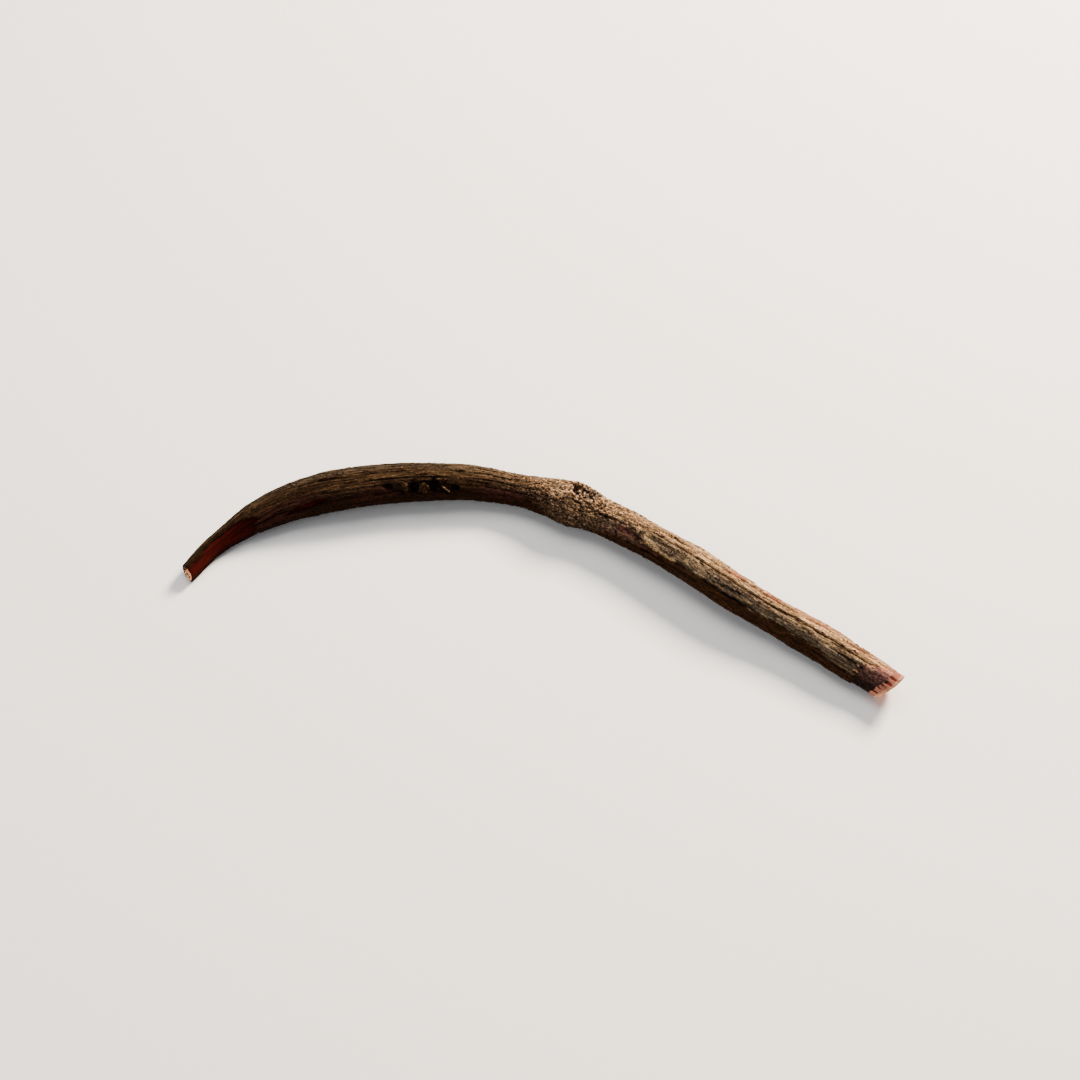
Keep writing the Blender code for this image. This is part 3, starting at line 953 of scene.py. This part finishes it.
def mixValues(factor, below, above):
    return addNode("Mix", {0: factor, 2: below, 3: above}).outputs[0]


def climb(value, low, high, first=0, last=1):
    # a ramp from one grey to another
    return addRamp(value, [(low, first), (high, last)])


def calculate(kind, a, b):
    return addNode("Math", {0: a, 1: b}, operation=kind, use_clamp=True).outputs[0]


def times(a, b):
    return calculate("MULTIPLY", a, b)


def mapRange(value, low, high, first=0, last=1):
    return addNode("MapRange", {0: value, 1: low, 2: high, 3: first, 4: last}).outputs[0]


def axisOf(place, axis):
    return addNode("SeparateXYZ", {0: place}).outputs[axis]


def startMaterial(name, roughness, specular):
    material = bpy.data.materials.new(name)
    material.use_nodes = True
    shader = material.node_tree.nodes["Principled BSDF"]
    shader.inputs["Roughness"].default_value = roughness
    shader.inputs["Specular IOR Level"].default_value = specular
    return material, material.node_tree, shader


def finishMaterial(shader, colour, height, distance, strength):
    tree = shader.id_data
    tree.links.new(colour, shader.inputs["Base Color"])
    bump = addNode("Bump", {"Height": height, "Distance": distance, "Strength": strength})
    tree.links.new(bump.outputs[0], shader.inputs["Normal"])


# Plain colours, and colours by how high a pattern stands
barkColours = {
    "crack": (0.014, 0.007, 0.0035), "shadeAndDarkPits": (0.004, 0.0015, 0.001),
    "young": [
        (0.35, (0.045, 0.025, 0.011)), (0.44, (0.175, 0.098, 0.046)), (0.51, (0.4, 0.23, 0.112)),
        (0.59, (0.7, 0.422, 0.216)), (0.7, (0.84, 0.572, 0.315)),
    ],
    "olive": [
        (0.36, (0.022, 0.015, 0.009)), (0.48, (0.087, 0.061, 0.038)), (0.56, (0.215, 0.155, 0.104)),
        (0.66, (0.52, 0.385, 0.262)),
    ],
    "brown": [
        (0.36, (0.024, 0.011, 0.005)), (0.48, (0.088, 0.047, 0.023)), (0.56, (0.2, 0.118, 0.064)),
        (0.66, (0.5, 0.325, 0.2)),
    ],
    # the underside's dark brown, darkened further as painted shade
    "oldAndShaded": [(0.35, (0.014, 0.005, 0.002)), (0.52, (0.04, 0.016, 0.006)), (0.72, (0.115, 0.05, 0.019))],
    # tints of the left stretch: its greyer tone and painted shade
    "leftGrey": (0.122, 0.14, 0.172), "leftTan": (0.152, 0.164, 0.192), "leftBrown": (0.155, 0.118, 0.078),
    "purple": (0.125, 0.04, 0.036), "pink": (0.31, 0.09, 0.058), "pale": (0.66, 0.425, 0.215),
    "ash": (0.21, 0.16, 0.112), "mauve": (0.2, 0.088, 0.088),
    "bandDark": [(0.4, (0.03, 0.013, 0.01)), (0.55, (0.07, 0.032, 0.027)), (0.68, (0.18, 0.1, 0.09))],
    "bandTop": [(0.35, (0.24, 0.075, 0.05)), (0.5, (0.42, 0.17, 0.11)), (0.64, (0.64, 0.32, 0.18))],
}
# The pattern that a patchy tone follows, and where and how far it fades by that
patches = {
    "purple": ("grain", 0.43, 0.54, 0.6), "pink": ("grain", 0.43, 0.54, 0.5),
    "ash": ("grain", 0.43, 0.54, 0.1), "pale": ("crumbs", 0.4, 0.52, 0.15),
}
# How much darker or paler specks make the bark
barkSpecks = {
    "pits": [(0.36, 0.3), (0.45, 1), (0.56, 1), (0.66, (1.4, 1.35, 1.25))],
    "dust": [(0.37, 0.42), (0.47, 1), (0.53, 1), (0.62, (1.45, 1.4, 1.3))],
    "lumps": [(0.39, 0.2), (0.47, (0.85, 0.86, 0.95)), (0.53, (1.08, 1.1, 1.3)), (0.61, (2.4, 2.15, 1.85))],
}


def leftToneAndShade(ageAndShade, left):
    # multiplies the bark's colours on the left stretch: its greyer tone and painted shade
    tinted = times(left, climb(ageAndShade, 0, 1, 1, 0.72))
    farLeft = climb(left, 0.75, 0.95)
    tint = mixed(farLeft, barkColours["leftTan"], barkColours["leftGrey"])
    tint = mixed(climb(ageAndShade, 0.05, 0.5), tint, barkColours["leftBrown"])
    return mixed(tinted, (1, 1, 1), tint)


def barkPatterns(tree):
    # what the bark's colours follow
    look = {name: readValue(tree, name) for name in barkValues}
    look["place"] = place = readValue(tree, "place", "Vector")
    look["fibres"] = addNoise(place, 1.4, 9, 4)
    look["crumbs"] = addNoise(place, 2.2, 5, 3, 0.7)
    look["lines"] = addNoise(place, 0.22, 6.5, 4, 0.7)
    lined = times(look["lined"], 0.8)
    look["grain"] = mixValues(lined, look["crumbs"], look["lines"])
    # the raised dashes are pale, and so are the crumbs on them
    streaks = addNoise(place, 0.3, 3, 6)
    flecks = times(look["grain"], 0.72)
    flecks = calculate("ADD", flecks, times(look["dash"], 0.07))
    look["flecks"] = calculate("ADD", flecks, times(streaks, 0.18))
    look["tint"] = leftToneAndShade(look["ageAndShade"], look["left"])
    return look


def barkGround(look):
    # tan, olive or dark brown by age and painted shade, and brown for olive on the left stretch
    names = ("young", "olive", "brown", "oldAndShaded")
    young, olive, brown, oldAndShaded = (addRamp(look["flecks"], barkColours[name]) for name in names)
    olive = mixed(look["left"], olive, brown)
    colour = mixed(climb(look["ageAndShade"], 0, 0.45), young, olive)
    colour = mixed(climb(look["ageAndShade"], 0.55, 0.95), colour, oldAndShaded)
    colour = multiply(colour, look["tint"])
    return multiply(colour, climb(look["fibres"], 0.32, 0.68, 0.55, 1.35))


def addStain(look, colour, tone):
    pattern, *fade = patches[tone]
    strength = times(look[tone], climb(look[pattern], *fade))
    return mixed(strength, colour, multiply(barkColours[tone], look["tint"]))


def addBand(look, colour):
    # the band beside the right cut: tan and pink on top, purple-black at its front
    forward = axisOf(look["place"], "Z")
    front = mapRange(forward, -0.4, 1.8)
    front = calculate("ADD", front, climb(look["crumbs"], 0.35, 0.65, 0.25, 0))
    top = addRamp(look["flecks"], barkColours["bandTop"])
    top = mixed(look["mauve"], top, barkColours["mauve"])
    top = multiply(top, climb(look["lines"], 0.35, 0.6, 0.6, 1.15))
    band = mixed(front, top, addRamp(look["crumbs"], barkColours["bandDark"]))
    # painted shade: the band darkens towards its very front
    band = multiply(band, mapRange(forward, 2.7, 3.4, 1, 0.25))
    return mixed(look["band"], colour, band)


def addSpecks(look, colour):
    # dark pits, drawn out where the grain runs in lines, pale specks and dust
    place, lined = look["place"], look["lined"]
    pits = mixValues(lined, addNoise(place, 2.6, 3.2, 2), addNoise(place, 0.7, 4.6, 2))
    colour = multiply(colour, addRamp(pits, barkSpecks["pits"]))
    colour = multiply(colour, addRamp(addNoise(place, 3.4, 5.5, 2), barkSpecks["dust"]))
    # coarser on the knob, where no lines run, but less so low on its front
    rough = calculate("SUBTRACT", 1, times(lined, 2.2))
    rough = times(rough, climb(look["ageAndShade"], 0.5, 0.85, 1, 0.35))
    lumps = addRamp(addNoise(place, 1.9, 3, 3, 0.7), barkSpecks["lumps"])
    return mixed(rough, colour, multiply(colour, lumps))


def makeBarkMaterial():
    material, tree, shader = startMaterial("madderBark", 0.9, 0.035)
    look = barkPatterns(tree)
    colour = barkGround(look)
    for tone in ("purple", "pink", "ash"):
        colour = addStain(look, colour, tone)
    colour = addBand(look, colour)
    colour = addStain(look, colour, "pale")
    colour = addSpecks(look, colour)
    # painted shade in the cracks, hollows, the scar and the knob's wrinkles, and under crumbs and scales
    shadeInCracks = climb(look["relief"], 0.08, 0.47, 0.95, 0)
    colour = mixed(shadeInCracks, colour, barkColours["crack"])
    # painted shade in the dark tone's gaps, pits and cracks, and the lenticels' own dark middles
    colour = mixed(look["dark"], colour, barkColours["shadeAndDarkPits"])
    fibres = times(look["fibres"], 0.35)
    height = calculate("ADD", fibres, times(look["grain"], 0.65))
    finishMaterial(shader, colour, height, 0.0006, 1)
    return material


woodColours = {
    "deep": (0.004, 0.0003, 0.0002), "crimson": (0.022, 0.001, 0.0005), "bright": (0.094, 0.0068, 0.0026),
}


def makeRedWoodMaterial():
    material, tree, shader = startMaterial("peeledRedWood", 0.8, 0.03)
    place = readValue(tree, "place", "Vector")
    grain = addNoise(place, 0.13, 4, 6, 0.65)
    specks = addNoise(place, 1.5, 7, 4)
    stops = [(0.32, woodColours["deep"]), (0.5, woodColours["crimson"]), (0.72, woodColours["bright"])]
    colour = multiply(addRamp(grain, stops), climb(specks, 0.3, 0.7, 0.6, 1.25))
    along = axisOf(place, "X")
    # painted shade: the red wood darkens where it runs in under the bark, and the slit lifts it again
    colour = multiply(colour, mapRange(along, 10, 20, 1, 0.45))     # darker under the bark
    colour = multiply(colour, mapRange(along, 19, 22, 1, 1.9))      # but not in the slit
    finishMaterial(shader, colour, grain, 0.0002, 0.8)
    return material


cutColours = {
    "pore": (0.2, 0.03, 0.012), "orange": (0.58, 0.2, 0.08), "light": (0.8, 0.42, 0.22),
    "rim": (0.64, 0.3, 0.18), "side": (0.36, 0.125, 0.085), "pith": (0.07, 0.015, 0.008),
    "groove": (0.27, 0.046, 0.03),
}
# Where they lie over the wood: the value each follows, and how strong it is by that
cutZones = [
    ("rim", "share", (0.84, 0.97, 0, 0.8)), ("pith", "share", (0.12, 0.24, 1, 0)),
    ("side", "back", (0.3, 0.75, 0, 0.9)),
]


def makeCutMaterial():
    material, tree, shader = startMaterial("cutWood", 0.9, 0.08)
    place = addNode("TexCoord", {}, tree).outputs["Object"]
    coarse = addNoise(place, 1300, 1300, 5, 0.7)
    fine = addNoise(place, 5200, 5200, 3)
    stops = [(0.3, cutColours["pore"]), (0.45, cutColours["orange"]), (0.66, cutColours["light"])]
    colour = multiply(addRamp(coarse, stops), climb(fine, 0.3, 0.7, 0.65, 1.2))
    for name, value, fade in cutZones:
        colour = mixed(climb(readValue(tree, value), *fade), colour, cutColours[name])
    height = axisOf(place, "Z")
    # painted light: the cut wood is brighter low down and darker high up
    colour = multiply(colour, mapRange(height, 0.001, 0.0062, 1.7, 0.5))     # brighter low down
    groove = climb(readValue(tree, "groove"), 0.2, 0.6)
    colour = mixed(groove, colour, cutColours["groove"])
    finishMaterial(shader, colour, fine, 0.0002, 0.8)
    return material


# The studio
studio = {
    "camera": {"lens": 65, "aim": (1.05, 8.6, 3.5), "distance": 370.5, "elevation": 55},
    # name, where it stands, what it aims at, side, watts, colour
    "lights": [
        ("keyLight", (400, 480, 430), (0, 5, 0), 220, 26, (1, 0.86, 0.7)),
        ("fillLight", (-500, -420, 520), (0, 5, 0), 700, 2, (0.97, 0.98, 1)),
        ("topLight", (-60, 260, 700), (0, 0, 0), 500, 4.5, (1, 0.97, 0.93)),
    ],
    "world": (0.9, 0.93, 1), "worldStrength": 0.22,
    "floorSide": 6000, "floorColour": (0.9, 0.89, 0.875),
}


def aimAt(thing, aim):
    thing.rotation_euler = (Vector(aim) * mm - thing.location).to_track_quat("-Z", "Y").to_euler()


def makeCamera():
    camera = addObject("camera", bpy.data.cameras.new("camera"))
    view = studio["camera"]
    camera.data.lens = view["lens"]
    camera.data.sensor_width = 36
    camera.data.clip_start = 0.01
    slope = radians(view["elevation"])
    aim = Vector(view["aim"])
    camera.location = (aim + Vector((0, -cos(slope), sin(slope))) * view["distance"]) * mm
    aimAt(camera, view["aim"])
    bpy.context.scene.camera = camera


def makeLights():
    for name, place, aim, side, watts, colour in studio["lights"]:
        light = bpy.data.lights.new(name, "AREA")
        light.size = side * mm
        light.energy = watts
        light.color = colour
        holder = addObject(name, light)
        holder.location = Vector(place) * mm
        aimAt(holder, aim)
    world = bpy.data.worlds.new("studio")
    world.use_nodes = True
    background = world.node_tree.nodes["Background"]
    background.inputs[0].default_value = (*studio["world"], 1)
    background.inputs[1].default_value = studio["worldStrength"]
    bpy.context.scene.world = world


def makeFloor():
    bm = bmesh.new()
    bmesh.ops.create_grid(bm, x_segments=1, y_segments=1, size=studio["floorSide"] / 2 * mm)
    floor = makePiece("floor", bm, smooth=False)
    material, _, shader = startMaterial("paleFloor", 0.9, 0.2)
    shader.inputs["Base Color"].default_value = (*studio["floorColour"], 1)
    floor.data.materials.append(material)


print("bark")
barkMaterial = makeBarkMaterial()
dressPiece(makeBark(), barkMaterial)
print("bare wood and cuts")
redMaterial, cutMaterial = makeRedWoodMaterial(), makeCutMaterial()
dressPiece(makeRedWood(), redMaterial)
for name, cut in cuts.items():
    dressPiece(makeCut(name, cut), cutMaterial)
print("small bits")
dressPiece(makeScarCrumbs(), barkMaterial)
dressPiece(makeBarkFlakes(), barkMaterial)
dressPiece(makeFibres(), barkMaterial)
print("studio")
makeCamera()
makeLights()
makeFloor()
